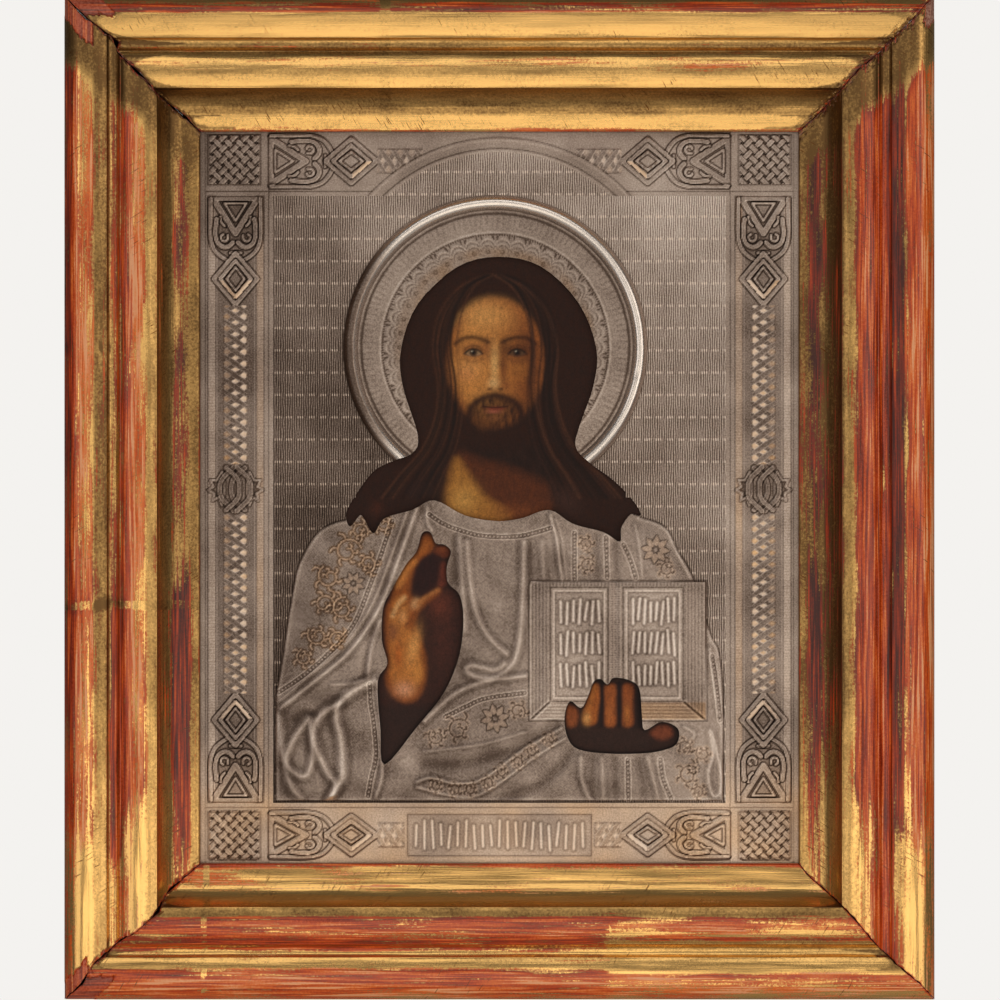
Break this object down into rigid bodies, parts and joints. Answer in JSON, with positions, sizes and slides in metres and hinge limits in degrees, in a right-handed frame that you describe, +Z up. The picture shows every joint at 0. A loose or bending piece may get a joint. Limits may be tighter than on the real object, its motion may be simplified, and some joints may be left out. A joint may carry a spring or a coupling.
{
  "type": "framed icon panel",
  "caption": "Framed devotional panel: gilded moulding frame, painted wooden board, chased silver cover open at head and hands, and a raised halo.",
  "frame": {"origin": "the hanging point: on the back face of the top rail, midway across, 26 mm above the sight edge", "axes": "+Z up, +X to the viewer's right, the painted front faces -Y and the back faces +Y"},
  "size_m": [0.312, 0.043, 0.36],
  "materials": {
    "gilded_wood": "gold leaf over red bole on gesso, burnished and worn through",
    "painted_panel": "painted and varnished gesso on a bare wooden board",
    "chased_silver": "chased silver sheet with dark patina and traces of gilding",
    "polished_silver": "silver sheet, engraved, with a polished rim"
  },
  "bodies": {
    "root": {"frame_rail_top": "gilded_wood", "frame_rail_bottom": "gilded_wood", "frame_rail_left": "gilded_wood", "frame_rail_right": "gilded_wood", "icon_board": "painted_panel", "silver_cover": "chased_silver", "halo": "polished_silver"}
  },
  "joints": []
}
